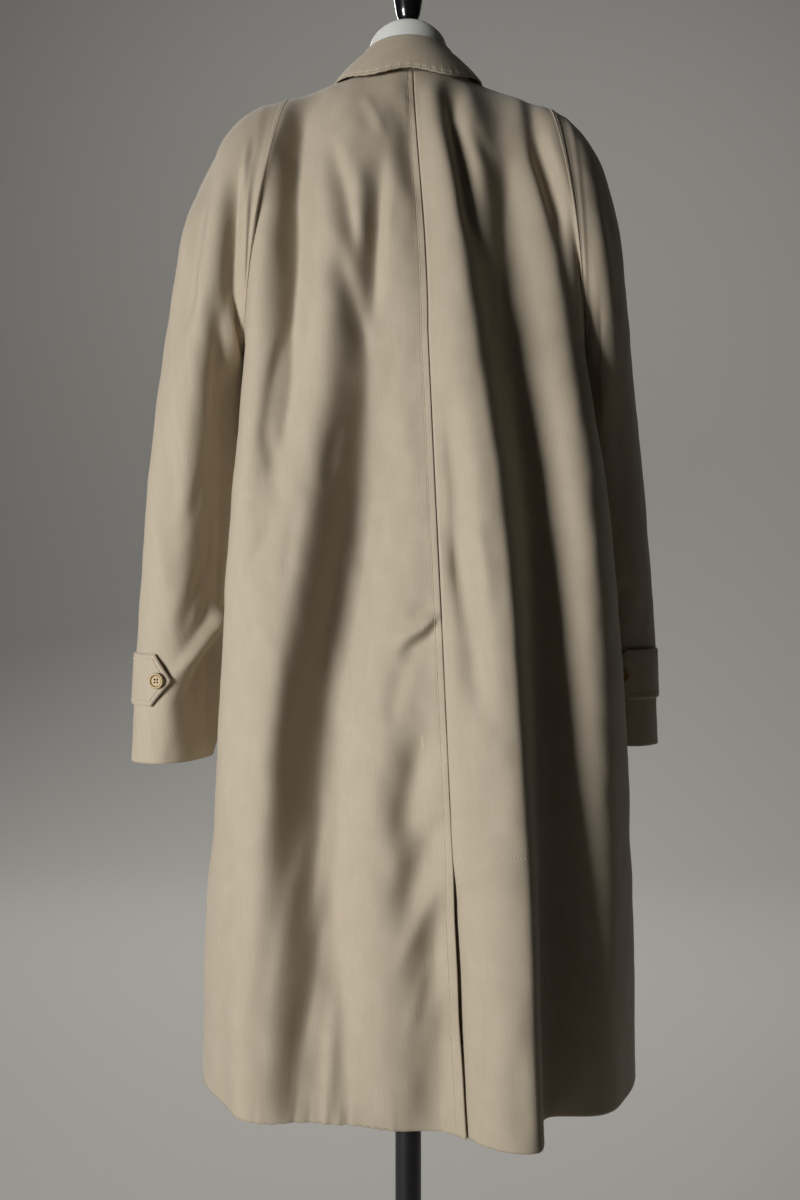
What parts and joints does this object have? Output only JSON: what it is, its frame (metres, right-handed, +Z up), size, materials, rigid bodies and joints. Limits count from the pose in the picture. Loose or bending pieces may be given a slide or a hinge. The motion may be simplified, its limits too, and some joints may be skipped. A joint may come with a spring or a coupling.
{
  "type": "car coat on dress form",
  "caption": "Knee-length cotton car coat with turn-down collar, back vent and buttoned cuff tabs, hanging on a limbless dress form with a pole and round base.",
  "frame": {"origin": "centre of the stand's round base, on its flat underside", "axes": "+Z up along the pole; the back of the coat faces -Y and its front +Y; -X is the wearer's left"},
  "size_m": [0.5647, 0.3939, 1.5699],
  "materials": {
    "gabardine": "matte",
    "horn": "gloss",
    "form_white": "satin",
    "knob_black": "gloss",
    "stand_black": "satin"
  },
  "bodies": {
    "root": {"back_left": "gabardine", "back_right": "gabardine", "front_left": "gabardine", "front_right": "gabardine", "sleeve_left": "gabardine", "sleeve_right": "gabardine", "collar": "gabardine", "cuff_tab_left": "gabardine", "cuff_tab_right": "gabardine", "cuff_button_left": "horn", "cuff_button_right": "horn", "form_body": "form_white", "form_knob": "knob_black", "stand_pole": "stand_black", "stand_base": "stand_black"}
  },
  "joints": []
}
